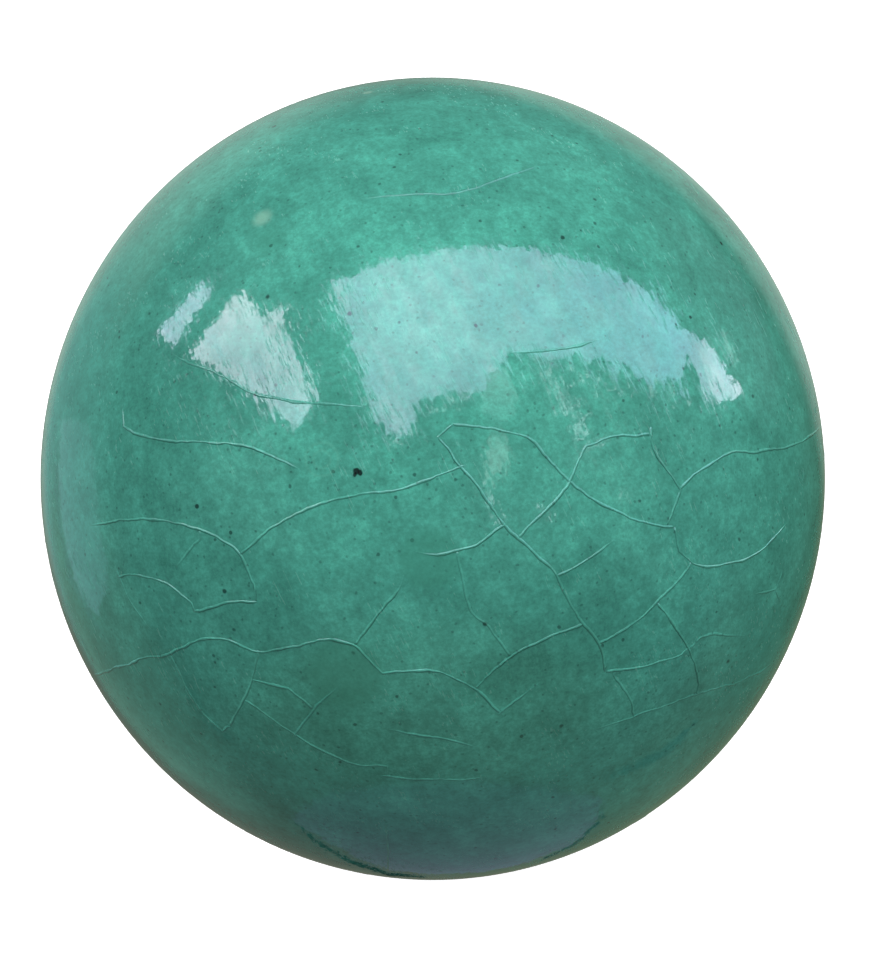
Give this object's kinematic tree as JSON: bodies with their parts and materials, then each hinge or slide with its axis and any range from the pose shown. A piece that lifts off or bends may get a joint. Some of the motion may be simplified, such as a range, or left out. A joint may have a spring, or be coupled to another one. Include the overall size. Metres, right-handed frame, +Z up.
{
  "type": "pin insulator",
  "caption": "Ball-headed glazed ceramic pin insulator with wire groove and double petticoat, screwed on a lead-headed steel crossarm pin with base, washers and nuts.",
  "frame": {"origin": "on the pin's axis, in the plane of the base's foot, which is the face that stands on the crossarm", "axes": "+Z up along the pin, from the nuts towards the crown; X and Y are square to the square washer's sides"},
  "size_m": [0.089, 0.089, 0.2256],
  "materials": {
    "glaze": "glossy jade green glaze with fine crackle and dark iron specks",
    "cushion_rubber": "matt",
    "lead": "dull cast lead alloy",
    "galvanised_steel": "weathered hot-dip zinc",
    "grey_iron": "sand-cast, zinc coated, weathered",
    "spring_steel": "zinc coated spring steel",
    "nut_steel": "zinc coated, lightly worn at the corners"
  },
  "bodies": {
    "pin": {"steel_pin": "galvanised_steel", "lead_thread_head": "lead", "pin_base": "grey_iron"},
    "cushion": {"cushion_disc": "cushion_rubber"},
    "shell": {"porcelain_shell": "glaze"},
    "clamp_washers": {"square_washer": "galvanised_steel", "spring_washer": "spring_steel"},
    "nut": {"hex_nut": "nut_steel"},
    "locknut": {"lock_nut": "nut_steel"}
  },
  "joints": [
    {"name": "shell_lift", "type": "slide", "parent": "pin", "child": "cushion", "axis": [0, 0, 1], "range_m": [0, 0.0382]},
    {"name": "shell_spin", "type": "hinge", "parent": "cushion", "child": "shell", "pos_m": [0, 0, 0.1], "axis": [0, 0, 1], "range_deg": [0, 2160]},
    {"name": "washer_travel", "type": "slide", "parent": "pin", "child": "clamp_washers", "axis": [0, 0, 1], "range_m": [-0.008, 0.009]},
    {"name": "nut_spin", "type": "hinge", "parent": "clamp_washers", "child": "nut", "pos_m": [0, 0, -0.028], "axis": [0, 0, 1], "range_deg": [-1140, 1280]},
    {"name": "lock_nut_spin", "type": "hinge", "parent": "clamp_washers", "child": "locknut", "pos_m": [0, 0, -0.041], "axis": [0, 0, 1], "range_deg": [-1140, 1280]}
  ],
  "couplings": [
    {"joint": "shell_lift", "follows": "shell_spin", "m_per_rad": 0.0010106},
    {"joint": "nut_spin", "follows": "washer_travel", "rad_per_m": 2473.7},
    {"joint": "lock_nut_spin", "follows": "washer_travel", "rad_per_m": 2473.7}
  ]
}
